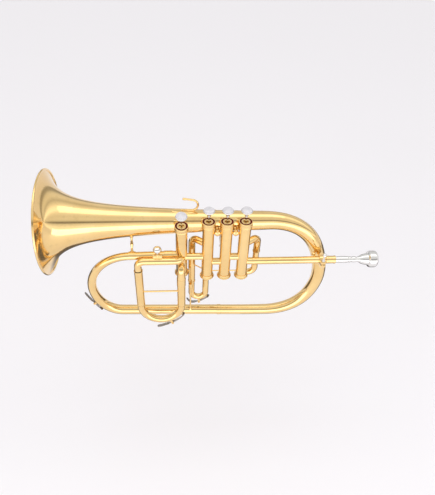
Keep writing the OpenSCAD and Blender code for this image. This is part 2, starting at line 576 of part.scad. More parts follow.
module front_key_saddle() {
    color(brass) {
        key_saddle(kf_p, kf_y, kf_pa, 4.4);
        key_nipple(kf_n, kf_y, kf_na, 0.5);
    }
}

// ---------- braces, hook, lyre socket ----------
module third_slide_post() {
    p = [214.6, -17.9, -118];
    d = [214.6, -14.2, -184.8] - p;
    L = norm(d);
    color(brass) difference() {
        translate(p) rotate([0, acos(d[2] / L), -90 + 180 * (d[1] > 0 ? 1 : 0)]) rotate_extrude()
            polygon([[0, 0], [2.3, 0], [2.7, 0.6], [3.4, 4], [3.5, 7], [2.9, 14], [1.9, 27], [1.4, 38], [1.4, L - 3], [2.6, L], [0, L]]);
        rod([200, sy, -191.65], [230, sy, -191.65], 8.45, 8.45);
    }
    color(brass) difference() {
        rod([214.6, -16.5, -119.05], [214.6, -11, -119.05], 0.85, 0.85);
        rod([s3x[0], sy, -121], [s3x[0], sy, -100], tube_r + 0.6, tube_r + 0.6);
    }
}
// A turned post from p to q: foot, vase, ring, vase, foot
module turned_post(p, q, s) {
    d = q - p;
    L = norm(d);
    translate(p) rotate([0, acos(d[2] / L), atan2(d[1], d[0])]) rotate_extrude() polygon([[0, 0], [2.6 * s, 0], [2.6 * s, 0.8],
        [1.5 * s, 1.8], [1.2 * s, L * 0.25], [1.7 * s, L * 0.42], [1.9 * s, L * 0.5], [1.7 * s, L * 0.58], [1.2 * s, L * 0.75],
        [1.5 * s, L - 1.8], [2.6 * s, L - 0.8], [2.6 * s, L], [0, L]]);
}
module bell_brace() {
    color(brass) {
        turned_post([124, -11.7, -20.2], [124, -23.3, -41.1], 1.3);
        difference() {
            translate([0, vy, -46.6]) turned_x([[119, 6.25], [119, 6.9], [129.6, 6.9], [129.6, 6.25]]);
            translate([100, vy - 20, -66.6]) cube([50, 40, 17.5]);
        }
    }
}
module valve_posts() {
    color(brass) for (x = [(vx[0] + vx[1]) / 2, (vx[1] + vx[2]) / 2]) translate([x, 0, -3.2]) rotate([90, 0, 0]) rotate_extrude()
        polygon([[0, 16.2], [3.4, 16.2], [3.4, 16.9], [1.6, 17.9], [1.5, 18.8], [2.8, 19.5], [2.8, 20.8], [1.7, 21.6], [1.7, 22.8],
                 [4.0, 24.0], [pitch / 2 - case_r + 0.05, 25.4], [pitch / 2 - case_r + 0.05, 27.8], [4.0, 29.3], [2.4, 30.2], [0, 30.5]]);
}
module tie_rods() {
    color(brass) difference() {
        union() {
            rod([vx[1], vy, -80.8], [vx[0], vy, -80.8], 1.0, 1.0);
            rod([vx[2], vy, -80.8], [vx[1], vy, -80.8], 1.0, 1.0);
            rod([s3x[0], sy, -80.8], [vx[2], vy, -80.8], 1.0, 1.0);
        }
        for (k = [1:3]) case_core(k);
        rod([s3x[0], sy, -90], [s3x[0], sy, -70], tube_r, tube_r);
    }
}
// Little-finger hook: wire of round section on a curved plate that fits the bell
module finger_hook() {
    color(brass) {
        rotate([0, 90, 0]) rotate([0, 0, 161]) rotate_extrude(angle = 38) polygon([[bell_at(185) + 0.02, 185], [bell_at(185) + 0.7, 185], [bell_at(187) + 1.3, 187],
            [bell_at(222) + 1.3, 222], [bell_at(224) + 0.7, 224], [bell_at(224) + 0.02, 224]]);
        rod([201, 0, 20.6], [216.2, 0, 20.6], 1.6, 1.6);
        arc_rod([216.2, 0, 29.8], 0, 9.2, -90, 82, 1.6);
        translate([217.48, 0, 38.91]) sphere(1.9, $fn = 32);
        rod([217.48, 0, 38.91], [203.88, 0, 40.83], 1.6, 1.6);
        translate([203.88, 0, 40.83]) sphere(2.3, $fn = 32);
    }
}
// Lyre socket: middle of its bore
lyre_p = [163.5, -36.8, -38.8];
module lyre_socket() {
    color(brass) difference() {
        union() {
            translate([156.6, -40.6, -46]) cube([13.8, 8.4, 7.2]);
            rod([156.6, lyre_p[1], lyre_p[2]], [170.4, lyre_p[1], lyre_p[2]], 3.6, 3.6);
            translate([lyre_p[0], lyre_p[1], lyre_p[2]]) cylinder(h = 4.6, r = 3.2);
        }
        rod([150, lyre_p[1], lyre_p[2]], [180, lyre_p[1], lyre_p[2]], 2.2, 2.2);
        translate([lyre_p[0], lyre_p[1], lyre_p[2]]) cylinder(h = 9, r = 1.55);
        rod([140, s4y, s4top], [180, s4y, s4top], 5.8, 5.8);
        rod([140, vy, exit_z - 0.5], [180, vy, exit_z - 0.5], 6.35, 6.35);
    }
}
module lyre_screw() {
    color(silver) translate([lyre_p[0], lyre_p[1], lyre_p[2]]) rotate_extrude() polygon([[0, 2.3], [1.47, 2.3], [1.47, 5.2], [2.4, 6.0],
        [2.2, 8.4], [3.8, 9.3], [5.8, 10.3], [6.5, 12.1], [6.4, 14.3], [5.2, 16.3], [3.0, 17.5], [0, 17.9]]);
}

// ---------- moving parts of the valves ----------
// Airway of the open valve, in the horn's frame: from the inlet to the outlet
module through(k, r) {
    if (k == 1) rod([vx[0] + 12, vy, lead_z - 1.2], [vx[0] - 12, vy, kz21 + 1.2], r, r);
    if (k == 2) rod([vx[1] + 12, vy, kz21 + 1.2], [vx[1] - 12, vy, kz32 - 1.2], r, r);
    if (k == 3) rod([vx[2] + 12, vy, kz32 - 1.2], [vx[2] - 12, vy, kz43 + 1.2], r, r);
    if (k == 4) rod([vx[3] + 12, vy, kz43 - 0.5], [vx[3] - 12, vy, exit_z + 0.5], r, r);
}
module piston(k) {
    color([0.80, 0.79, 0.76]) difference() {
        at_valve(k) translate([0, 0, -72]) cylinder(h = 82, r = piston_r, $fn = 96);
        difference() {
            at_valve(k) translate([0, 0, -70.5]) cylinder(h = 78.5, r = piston_r - 0.7, $fn = 96);
            through(k, port_r + 0.5);
        }
        through(k, port_r - 0.1);
        at_valve(k) translate([0, 0, -73]) cylinder(h = 4, r = 4.2);
        at_valve(k) for (s = [-1, 1]) translate([5, 0, 0]) translate([0, s * 2, 7]) cylinder(h = 4, r = 0.9);
    }
}
module piston_1() { piston(1); }
module piston_2() { piston(2); }
module piston_3() { piston(3); }
module piston_4() { piston(4); }
// Stem with its conical button cup
module finger_button(k) {
    color(silver) at_valve(k) rotate_extrude($fn = 96) polygon([[0, 10], [1.9, 10], [1.9, 28.3], [2.8, 28.5], [3.1, 29.6], [3.4, 31.8], [4.6, 33.2],
        [6.6, 34.8], [button_r - 0.5, 36.4], [button_r, 37.2], [button_r, 38.2], [button_r - 0.5, 38.7], [button_r - 1.1, 38.7], [button_r - 1.1, 37.5], [0, 37.5]]);
}
module button_pearl(k) {
    r = button_r - 1.15;
    color([0.93, 0.93, 0.90]) at_valve(k) rotate_extrude($fn = 96) polygon(concat([[0, 37.52], [r, 37.52], [r, 39.4]],
        [for (a = [15:15:75]) [r * cos(a), 39.4 + 3.0 * sin(a)]], [[0, 42.4]]));
}
module finger_button_1() { finger_button(1); }
module finger_button_2() { finger_button(2); }
module finger_button_3() { finger_button(3); }
module finger_button_4() { finger_button(4); }
module button_pearl_1() { button_pearl(1); }
module button_pearl_2() { button_pearl(2); }
module button_pearl_3() { button_pearl(3); }
module button_pearl_4() { button_pearl(4); }
// Valve spring below the piston: closed end turns and open turns between
module valve_spring(k) {
    turns = 6.5;
    n = 78;
    color([0.6, 0.6, 0.6]) at_valve(k) swept_rod([for (i = [0:n]) let (u = i / n, a = 360 * turns * u)
        [6.4 * cos(a), 6.4 * sin(a), -93.8 + 21.15 * (u < 0.15 ? u * 0.33 : u > 0.85 ? 1 - (1 - u) * 0.33 : 0.05 + (u - 0.15) * 0.9 / 0.7)]], 0.45, 6, [0, 0, 1]);
}
module valve_spring_1() { valve_spring(1); }
module valve_spring_2() { valve_spring(2); }
module valve_spring_3() { valve_spring(3); }
module valve_spring_4() { valve_spring(4); }

bell();
bell_rim_ring();
bell_tail_ferrule();
back_bow();
bottom_ferrule();
front_bow();
exit_ferrule();
front_key_saddle();
leadpipe();
leadpipe_clamp();
leadpipe_brace();
casing_1();
casing_2();
casing_3();
casing_4();
valve_knuckles();
top_caps();
bottom_caps();
cap_felts();
slide_1_tubes();
slide_2_tubes();
slide_3_tubes();
slide_4_tubes();
slide_4_cross_brace();
third_slide_post();
bell_brace();
valve_posts();
tie_rods();
finger_hook();
lyre_socket();
piston_1();
piston_2();
piston_3();
piston_4();
finger_button_1();
finger_button_2();
finger_button_3();
finger_button_4();
button_pearl_1();
button_pearl_2();
button_pearl_3();
button_pearl_4();
valve_spring_1();
valve_spring_2();
valve_spring_3();
valve_spring_4();
slide_1_crook();
slide_2_crook();
slide_3_crook();
slide_4_crook();
front_water_key();
slide_3_water_key();
slide_4_water_key();
front_key_cork();
slide_3_key_cork();
slide_4_key_cork();
tuning_pipe();
mouthpiece();
clamp_screw();
lyre_screw();
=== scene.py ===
"""Looks of a four-valve flugelhorn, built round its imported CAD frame. Metres, in the CAD's own frame."""
import json
import math

import bmesh
import bpy
import numpy as np
from mathutils import Matrix, Vector


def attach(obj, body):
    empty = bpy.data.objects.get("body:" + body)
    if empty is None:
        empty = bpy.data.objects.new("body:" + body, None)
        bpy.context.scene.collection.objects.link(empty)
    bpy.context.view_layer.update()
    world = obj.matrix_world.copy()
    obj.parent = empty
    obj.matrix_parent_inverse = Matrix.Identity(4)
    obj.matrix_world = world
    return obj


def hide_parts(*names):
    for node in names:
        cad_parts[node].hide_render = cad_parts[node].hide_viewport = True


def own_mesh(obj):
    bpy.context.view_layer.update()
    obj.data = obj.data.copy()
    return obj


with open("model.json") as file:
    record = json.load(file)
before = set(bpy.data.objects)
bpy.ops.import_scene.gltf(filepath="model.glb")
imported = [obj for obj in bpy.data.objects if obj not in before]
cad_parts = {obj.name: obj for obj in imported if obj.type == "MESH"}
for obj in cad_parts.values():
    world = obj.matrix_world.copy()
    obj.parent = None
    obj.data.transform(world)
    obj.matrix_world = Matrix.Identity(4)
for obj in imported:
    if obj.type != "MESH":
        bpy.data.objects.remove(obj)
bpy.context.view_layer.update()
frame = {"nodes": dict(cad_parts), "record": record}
NODES = frame["nodes"]
MM = 0.001
scene = bpy.context.scene

# ------------------------------------------------------------------ camera, light, floor
A, E, ROLL, FOCAL = math.radians(-5.93), math.radians(40.58), math.radians(3.14), 482.04
F = Vector((-math.sin(A) * math.cos(E), math.cos(A) * math.cos(E), -math.sin(E)))
R = Vector((math.cos(A), math.sin(A), 0))
U = R.cross(F)
R2 = math.cos(ROLL) * R + math.sin(ROLL) * U
U2 = -math.sin(ROLL) * R + math.cos(ROLL) * U
cam_data = bpy.data.cameras.new("camera")
cam_data.lens = FOCAL * 36 / 495
cam_data.sensor_width = 36
cam_data.sensor_fit = "AUTO"
cam_data.clip_start, cam_data.clip_end = 0.01, 60
cam = bpy.data.objects.new("camera", cam_data)
scene.collection.objects.link(cam)
m = Matrix((R2, U2, -F)).transposed().to_4x4()
m.translation = Vector((0.19705, -0.58885, 0.45225))
cam.matrix_world = m
scene.camera = cam
scene.view_settings.view_transform = "Standard"

FLOOR_Z = -0.46


def nodes_of(tree):
    tree.nodes.clear()
    return tree.nodes, tree.links


def ramp(nodes, stops, mode="LINEAR"):
    n = nodes.new("ShaderNodeValToRGB")
    n.color_ramp.interpolation = mode
    e = n.color_ramp.elements
    while len(e) > 1:
        e.remove(e[-1])
    e[0].position = stops[0][0]
    e[0].color = tuple(stops[0][1]) + (1,)
    for p, c in stops[1:]:
        x = e.new(p)
        x.color = tuple(c) + (1,)
    return n


# A light tent: brightness by the angle round the horn's long axis, from the front horizon over the top to the back
world = bpy.data.worlds.new("tent")
scene.world = world
world.use_nodes = True
n, l = nodes_of(world.node_tree)
co = n.new("ShaderNodeTexCoord")
sep = n.new("ShaderNodeSeparateXYZ")
neg = n.new("ShaderNodeMath"); neg.operation = "MULTIPLY"; neg.inputs[1].default_value = -1
at = n.new("ShaderNodeMath"); at.operation = "ARCTAN2"
mr = n.new("ShaderNodeMapRange")
mr.inputs["From Min"].default_value = -math.pi
mr.inputs["From Max"].default_value = math.pi
l.new(co.outputs["Generated"], sep.inputs[0])
l.new(sep.outputs["Y"], neg.inputs[0])
l.new(sep.outputs["Z"], at.inputs[0])
l.new(neg.outputs[0], at.inputs[1])
l.new(at.outputs[0], mr.inputs["Value"])


def at_deg(d):
    return (d + 180) / 360


TENT = [(-180, 0.55), (-100, 0.9), (-20, 1.1), (0, 1.25), (12, 1.15), (20, 0.95), (27, 0.78), (31, 0.3), (36, 0.27), (41, 0.72), (50, 0.86),
        (64, 0.82), (80, 1.02), (92, 1.4), (104, 1.3), (116, 0.98), (134, 0.62), (150, 0.85), (162, 0.8), (172, 0.42), (180, 0.38)]
top = max(v for _, v in TENT)
r = ramp(n, [(at_deg(d), (v / top, v / top * 0.995, v / top * 0.99)) for d, v in TENT])
bg = n.new("ShaderNodeBackground")
bg.inputs["Strength"].default_value = top
out = n.new("ShaderNodeOutputWorld")
l.new(mr.outputs[0], r.inputs[0])
l.new(r.outputs[0], bg.inputs["Color"])
l.new(bg.outputs[0], out.inputs["Surface"])


def area(name, at, to, size, power, colour=(1, 1, 1)):
    d = bpy.data.lights.new(name, "AREA")
    d.shape = "RECTANGLE"
    d.size, d.size_y = size
    d.energy = power
    d.color = colour
    o = bpy.data.objects.new(name, d)
    scene.collection.objects.link(o)
    o.location = at
    o.rotation_mode = "QUATERNION"
    o.rotation_quaternion = (Vector(to) - Vector(at)).to_track_quat("-Z", "Y")
    return o


area("front_softbox", (0.2, -1.05, -0.19), (0.2, 0, -0.08), (3.2, 0.5), 7)
area("top_softbox", (0.2, 0.1, 1.6), (0.2, 0, 0), (2.4, 0.85), 3)

floor_mesh = bpy.data.meshes.new("floor")
s = 14.0
floor_mesh.from_pydata([(-s, -s, FLOOR_Z), (s, -s, FLOOR_Z), (s, s, FLOOR_Z), (-s, s, FLOOR_Z)], [], [(0, 1, 2, 3)])
floor = bpy.data.objects.new("floor", floor_mesh)
scene.collection.objects.link(floor)
fm = bpy.data.materials.new("floor")
fm.use_nodes = True
n, l = nodes_of(fm.node_tree)
b = n.new("ShaderNodeBsdfPrincipled")
b.inputs["Base Color"].default_value = (0.925, 0.906, 0.935, 1)
b.inputs["Roughness"].default_value = 0.9
b.inputs["Specular IOR Level"].default_value = 0.1
o = n.new("ShaderNodeOutputMaterial")
l.new(b.outputs[0], o.inputs["Surface"])
floor.data.materials.append(fm)

# Dark flags low down to either side, seen only in reflections: they give upright tubes their dark edges
for side in (-1, 1):
    NA, NR, V, Fc, A = 40, 6, [], [], []
    for i in range(NA + 1):
        az = 84 + 76 * i / NA
        al = min(1, max(0, (az - 86) / 16)) * min(1, max(0, (158 - az) / 16))
        for j in range(NR + 1):
            rr = 0.12 + 1.4 * (j / NR) ** 1.5
            V.append((0.22 + side * rr * math.sin(math.radians(az)), -0.03 - rr * math.cos(math.radians(az)), FLOOR_Z + 0.006))
            A.append(al * al * (3 - 2 * al))
    for i in range(NA):
        for j in range(NR):
            q = i * (NR + 1) + j
            Fc.append((q, q + 1, q + NR + 2, q + NR + 1))
    me = bpy.data.meshes.new("flag")
    me.from_pydata(V, [], Fc)
    ca = me.attributes.new("cover", "FLOAT", "POINT")
    for i, v in enumerate(A):
        ca.data[i].value = v
    flag = bpy.data.objects.new("flag_%s" % ("left" if side < 0 else "right"), me)
    scene.collection.objects.link(flag)
    flag.visible_camera = flag.visible_diffuse = flag.visible_shadow = flag.visible_transmission = False
    fmat = bpy.data.materials.new("flag")
    fmat.use_nodes = True
    n, l = nodes_of(fmat.node_tree)
    at_ = n.new("ShaderNodeAttribute"); at_.attribute_name = "cover"
    em = n.new("ShaderNodeEmission"); em.inputs["Color"].default_value = (0.16, 0.15, 0.15, 1)
    tr = n.new("ShaderNodeBsdfTransparent")
    mx = n.new("ShaderNodeMixShader")
    o = n.new("ShaderNodeOutputMaterial")
    l.new(at_.outputs["Fac"], mx.inputs[0]); l.new(tr.outputs[0], mx.inputs[1]); l.new(em.outputs[0], mx.inputs[2]); l.new(mx.outputs[0], o.inputs["Surface"])
    me.materials.append(fmat)


# ------------------------------------------------------------------ materials
def new_mat(name):
    mt = bpy.data.materials.new(name)
    mt.use_nodes = True
    n, l = nodes_of(mt.node_tree)
    b = n.new("ShaderNodeBsdfPrincipled")
    o = n.new("ShaderNodeOutputMaterial")
    l.new(b.outputs[0], o.inputs["Surface"])
    c = n.new("ShaderNodeTexCoord")
    return mt, n, l, b, c


def noise(n, l, c, scale, detail=3, rough=0.5, stretch=(1, 1, 1), offset=(0, 0, 0)):
    mp = n.new("ShaderNodeMapping")
    mp.inputs["Scale"].default_value = stretch
    mp.inputs["Location"].default_value = offset
    t = n.new("ShaderNodeTexNoise")
    t.inputs["Scale"].default_value = scale
    t.inputs["Detail"].default_value = detail
    t.inputs["Roughness"].default_value = rough
    l.new(c.outputs["Object"], mp.inputs[0])
    l.new(mp.outputs[0], t.inputs["Vector"])
    return t


def mix_col(n, l, fac, a, b):
    x = n.new("ShaderNodeMix")
    x.data_type = "RGBA"
    for s_, v in ((6, a), (7, b)):
        if isinstance(v, tuple):
            x.inputs[s_].default_value = v + (1,)
        else:
            l.new(v, x.inputs[s_])
    l.new(fac, x.inputs[0])
    return x.outputs[2]


def spread(n, l, v, lo, hi, a, b):
    x = n.new("ShaderNodeMapRange")
    x.inputs["From Min"].default_value = lo
    x.inputs["From Max"].default_value = hi
    x.inputs["To Min"].default_value = a
    x.inputs["To Max"].default_value = b
    l.new(v, x.inputs["Value"])
    return x.outputs[0]


def bump(n, l, b, h, strength, dist, chain=None):
    x = n.new("ShaderNodeBump")
    x.inputs["Strength"].default_value = strength
    x.inputs["Distance"].default_value = dist
    l.new(h, x.inputs["Height"])
    if chain:
        l.new(chain, x.inputs["Normal"])
    l.new(x.outputs[0], b.inputs["Normal"])
    return x.outputs[0]


def metal(name, light, deep, rough, coat=0.0, wear=0.5, grain=0.05):
    """Polished plated metal: slow colour drift, cloudy polish, hairline scratches and a faint unevenness of the sheet."""
    mt, n, l, b, c = new_mat(name)
    b.inputs["Metallic"].default_value = 1
    b.inputs["Coat Weight"].default_value = coat
    b.inputs["Coat Roughness"].default_value = 0.06
    b.inputs["Coat IOR"].default_value = 1.45
    drift = noise(n, l, c, 22, 4, 0.55)
    stain = noise(n, l, c, 140, 5, 0.6, offset=(3, 1, 2))
    hair = noise(n, l, c, 260, 2, 0.5, stretch=(1, 14, 9), offset=(7, 0, 0))
    wave = noise(n, l, c, 60, 2, 0.4, offset=(1, 8, 5))
    col = mix_col(n, l, spread(n, l, drift.outputs["Fac"], 0.3, 0.7, 0, 1), deep, light)
    spots = spread(n, l, stain.outputs["Fac"], 0.56, 0.78, 0, wear)
    col = mix_col(n, l, spots, col, tuple(v * 0.72 for v in deep))
    l.new(col, b.inputs["Base Color"])
    l.new(spread(n, l, stain.outputs["Fac"], 0.25, 0.8, rough * 0.75, rough * 1.7), b.inputs["Roughness"])
    s1 = bump(n, l, b, wave.outputs["Fac"], 0.06, 0.0006)
    bump(n, l, b, hair.outputs["Fac"], grain, 0.00008, s1)
    return mt


brass = metal("lacquered_brass", (0.94, 0.675, 0.305), (0.87, 0.595, 0.245), 0.085, coat=0.5, wear=0.35)
silver = metal("silver_plate", (0.83, 0.82, 0.80), (0.77, 0.76, 0.735), 0.07, wear=0.3)
nickel = metal("nickel_plate", (0.78, 0.755, 0.71), (0.72, 0.69, 0.64), 0.16, wear=0.3)
steel = metal("spring_steel", (0.66, 0.66, 0.67), (0.55, 0.55, 0.56), 0.22, wear=0.3)
lever = metal("nickel_lever", (0.44, 0.42, 0.40), (0.34, 0.32, 0.30), 0.22, wear=0.5)


def pearl_mat():
    mt, n, l, b, c = new_mat("pearl")
    cloud = noise(n, l, c, 210, 4, 0.6)
    band = n.new("ShaderNodeTexWave")
    band.wave_type = "BANDS"
    band.inputs["Scale"].default_value = 120
    band.inputs["Distortion"].default_value = 9
    band.inputs["Detail"].default_value = 3
    l.new(c.outputs["Object"], band.inputs["Vector"])
    col = mix_col(n, l, spread(n, l, cloud.outputs["Fac"], 0.3, 0.7, 0, 1), (0.62, 0.62, 0.65), (0.79, 0.77, 0.80))
    col = mix_col(n, l, spread(n, l, band.outputs["Fac"], 0.2, 1, 0, 0.45), col, (0.77, 0.71, 0.75))
    l.new(col, b.inputs["Base Color"])
    l.new(spread(n, l, band.outputs["Fac"], 0, 1, 0.10, 0.2), b.inputs["Roughness"])
    b.inputs["Coat Weight"].default_value = 0.6
    b.inputs["Coat Roughness"].default_value = 0.05
    b.inputs["Sheen Weight"].default_value = 0.1
    bump(n, l, b, band.outputs["Fac"], 0.05, 0.0001)
    return mt


def felt_mat():
    mt, n, l, b, c = new_mat("red_felt")
    fuzz = noise(n, l, c, 1700, 6, 0.7)
    big = noise(n, l, c, 260, 3, 0.6)
    col = mix_col(n, l, spread(n, l, fuzz.outputs["Fac"], 0.3, 0.7, 0, 1), (0.055, 0.003, 0.003), (0.24, 0.014, 0.012))
    col = mix_col(n, l, spread(n, l, big.outputs["Fac"], 0.45, 0.75, 0, 0.5), col, (0.09, 0.005, 0.005))
    l.new(col, b.inputs["Base Color"])
    b.inputs["Roughness"].default_value = 0.95
    b.inputs["Sheen Weight"].default_value = 0.02
    b.inputs["Specular IOR Level"].default_value = 0.04
    b.inputs["Sheen Roughness"].default_value = 0.5
    bump(n, l, b, fuzz.outputs["Fac"], 0.7, 0.0003)
    return mt


def cork_mat():
    mt, n, l, b, c = new_mat("dark_cork")
    v = n.new("ShaderNodeTexVoronoi")
    v.inputs["Scale"].default_value = 900
    l.new(c.outputs["Object"], v.inputs["Vector"])
    g = noise(n, l, c, 600, 4, 0.6)
    col = mix_col(n, l, spread(n, l, g.outputs["Fac"], 0.3, 0.7, 0, 1), (0.05, 0.032, 0.022), (0.16, 0.10, 0.06))
    l.new(col, b.inputs["Base Color"])
    b.inputs["Roughness"].default_value = 0.85
    bump(n, l, b, v.outputs["Distance"], 0.5, 0.0002)
    return mt


pearl, felt, cork = pearl_mat(), felt_mat(), cork_mat()
MATS = {"lacquered_brass": brass, "silver_plate": silver, "pearl": pearl, "red_felt": felt, "spring_steel": steel,
        "nickel_plate": nickel, "nickel_lever": lever, "dark_cork": cork}
SLOT = {p["node"]: p["material_slot"] for p in frame["record"]["subparts"]}

# ------------------------------------------------------------------ mesh building
def add_mesh(name, verts, faces, slot, body, replaces=(), sharp=38.0, bevel=None):
    """A closed mesh in metres with smooth shading and sharp edges kept, riding on a body and standing for CAD nodes."""
    me = bpy.data.meshes.new(name)
    me.from_pydata([tuple(v) for v in verts], [], faces)
    bm = bmesh.new()
    bm.from_mesh(me)
    bmesh.ops.remove_doubles(bm, verts=bm.verts, dist=1e-7)
    bmesh.ops.dissolve_degenerate(bm, edges=bm.edges, dist=1e-7)
    bmesh.ops.recalc_face_normals(bm, faces=bm.faces)
    lim = math.radians(sharp)
    for f in bm.faces:
        f.smooth = True
    for e in bm.edges:
        if len(e.link_faces) == 2 and e.calc_face_angle(0) > lim:
            e.smooth = False
    bm.to_mesh(me)
    bm.free()
    ob = bpy.data.objects.new(name, me)
    scene.collection.objects.link(ob)
    ob.data.materials.append(MATS[slot])
    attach(ob, body)
    if replaces:
        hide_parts(*replaces)
    return ob


def soften(P, rad, steps=3, closed=True):
    """Rounds the corners of a profile, given as a list of (axis, radius) in mm, with arcs that take at most rad off each side."""
    out, N = [], len(P)
    for i, p in enumerate(P):
        if not closed and i in (0, N - 1):
            out.append(tuple(p))
            continue
        a, c = np.array(P[i - 1], float), np.array(P[(i + 1) % N], float)
        b = np.array(p, float)
        la, lc = np.linalg.norm(a - b), np.linalg.norm(c - b)
        if la < 1e-9 or lc < 1e-9 or abs(b[1]) < 1e-9:
            out.append(tuple(b))
            continue
        ta, tc = min(rad, 0.45 * la), min(rad, 0.45 * lc)
        s, e = b + (a - b) / la * ta, b + (c - b) / lc * tc
        if abs(np.dot((a - b) / la, (c - b) / lc)) > 0.9995:
            out.append(tuple(b))
            continue
        for k in range(steps + 1):
            u = k / steps
            out.append(tuple((1 - u) ** 2 * s + 2 * u * (1 - u) * b + u * u * e))
    return out


def frame_of(origin, axis):
    """4x4 that takes local z to axis, at origin, in mm."""
    z = Vector(axis).normalized()
    x = Vector((1, 0, 0)) if abs(z.x) < 0.9 else Vector((0, 1, 0))
    y = z.cross(x).normalized()
    x = y.cross(z)
    m = Matrix((x, y, z)).transposed().to_4x4()
    m.translation = Vector(origin)
    return m


def lathe(P, M, n=96, flutes=None):
    """Turns the closed profile P, a list of (height, radius) in mm, round the z of M. flutes is (low, high, count, depth)."""
    V, Fc, rings = [], [], []
    for h, rr in P:
        if rr < 1e-6:
            rings.append([len(V)])
            V.append((M @ Vector((0, 0, h))) * MM)
            continue
        ring = []
        for k in range(n):
            t = 2 * math.pi * k / n
            q = rr
            if flutes:
                for lo, hi, count, depth in flutes:
                    if lo <= h <= hi:
                        q = rr - depth * (0.5 - 0.5 * math.cos(count * t))
            ring.append(len(V))
            V.append((M @ Vector((q * math.cos(t), q * math.sin(t), h))) * MM)
        rings.append(ring)
    N = len(rings)
    for i in range(N):
        a, b = rings[i], rings[(i + 1) % N]
        if len(a) == 1 and len(b) == 1:
            continue
        for k in range(n):
            j = (k + 1) % n
            if len(a) == 1:
                Fc.append((a[0], b[j], b[k]))
            elif len(b) == 1:
                Fc.append((a[k], a[j], b[0]))
            else:
                Fc.append((a[k], a[j], b[j], b[k]))
    return V, Fc


def joined(*parts):
    V, Fc = [], []
    for v, f in parts:
        o = len(V)
        V += list(v)
        Fc += [tuple(i + o for i in q) for q in f]
    return V, Fc


def sweep(P, outer, inner=None, n=48, cap_round=0):
    """A tube, or a solid rod where inner is None, along the points P in mm, with a radius at each point."""
    P = [Vector(p) for p in P]
    L = len(P)
    T = [(P[min(i + 1, L - 1)] - P[max(i - 1, 0)]).normalized() for i in range(L)]
    ref = Vector((0, 1, 0)) if abs(T[0].y) < 0.9 else Vector((0, 0, 1))
    x = (ref - T[0] * ref.dot(T[0])).normalized()
    frames = []
    for i in range(L):
        if i:
            x = (x - T[i] * x.dot(T[i])).normalized()
        frames.append((x.copy(), T[i].cross(x)))
    V, Fc, rings = [], [], []

    def ring(i, rr, shift=0.0):
        a, b = frames[i]
        ids = []
        for k in range(n):
            t = 2 * math.pi * k / n
            ids.append(len(V))
            V.append((P[i] + T[i] * shift + (a * math.cos(t) + b * math.sin(t)) * rr) * MM)
        return ids

    def wall(a, b):
        for k in range(n):
            j = (k + 1) % n
            Fc.append((a[k], a[j], b[j], b[k]))

    outs = [ring(i, outer[i]) for i in range(L)]
    for i in range(L - 1):
        wall(outs[i], outs[i + 1])
    if inner:
        ins = [ring(i, inner[i]) for i in range(L)]
        for i in range(L - 1):
            wall(ins[i + 1], ins[i])
        wall(outs[-1], ins[-1])
        wall(ins[0], outs[0])
    elif cap_round:
        for end, sgn, o in ((0, -1, outs[0]), (L - 1, 1, outs[-1])):
            last = o
            for s_ in range(1, 5):
                t = s_ / 5 * math.pi / 2
                nxt = ring(end, outer[end] * math.cos(t), sgn * outer[end] * math.sin(t) * cap_round)
                wall(last, nxt) if sgn > 0 else wall(nxt, last)
                last = nxt
            Fc.append(tuple(last) if sgn > 0 else tuple(reversed(last)))
    else:
        Fc.append(tuple(reversed(outs[0])))
        Fc.append(tuple(outs[-1]))
    return V, Fc


def even(P, vals, step):
    """Points every step mm along a dense path P, with the values that go with them."""
    P = np.array(P, float)
    d = np.r_[0, np.cumsum(np.linalg.norm(np.diff(P, axis=0), axis=1))]
    s = np.linspace(0, d[-1], max(2, int(round(d[-1] / step)) + 1))
    Q = np.stack([np.interp(s, d, P[:, i]) for i in range(P.shape[1])], 1)
    return [Vector(q) for q in Q], [float(np.interp(x, d, vals)) for x in s]


def spline(pts, per=10):
    """Catmull-Rom through the points."""
    P = [np.array(p, float) for p in pts]
    P = [2 * P[0] - P[1]] + P + [2 * P[-1] - P[-2]]
    out = []
    for i in range(1, len(P) - 2):
        for k in range(per):
            t = k / per
            out.append(0.5 * ((2 * P[i]) + (-P[i - 1] + P[i + 1]) * t + (2 * P[i - 1] - 5 * P[i] + 4 * P[i + 1] - P[i + 2]) * t * t
                              + (-P[i - 1] + 3 * P[i] - 3 * P[i + 1] + P[i + 2]) * t ** 3))
    out.append(P[-2])
    return out


def smooth(u):
    return u * u * (3 - 2 * u)


# ------------------------------------------------------------------ dimensions shared with the CAD, in mm
BELL_R, WALL, BELL_LEN = 80.0, 0.7, 246.0
VY, SY, S4Y, LEAD_Z = -26.6, -8.6, -39.5, -60.5
VX = [295.8, 268.1, 240.4, 200.1]
V4 = (200.1, -26.2, -39.1)
LEAN, MID_Z = math.radians(8.8), -38.85
EXIT_Z = -45.3


def bell_at(x):
    return (BELL_R * (0.008844 + 0.0000598 * x + 3.7258 / (x + 11.25) ** 0.5471)
            + 2.5 * (1 - math.exp(-x / 11)) * (1 - (x / 330) ** 1.6))


def valve_frame(k):
    """The frame of valve k, mm: z runs up its casing."""
    if k < 4:
        return Matrix.Translation(Vector((VX[k - 1], VY, 0)))
    return Matrix.Translation(Vector(V4)) @ Matrix.Rotation(LEAN, 4, "X") @ Matrix.Translation(Vector((0, 0, -MID_Z)))


X_AXIS = frame_of((0, 0, 0), (1, 0, 0))
LEAD_AXIS = frame_of((0, VY, LEAD_Z), (1, 0, 0))

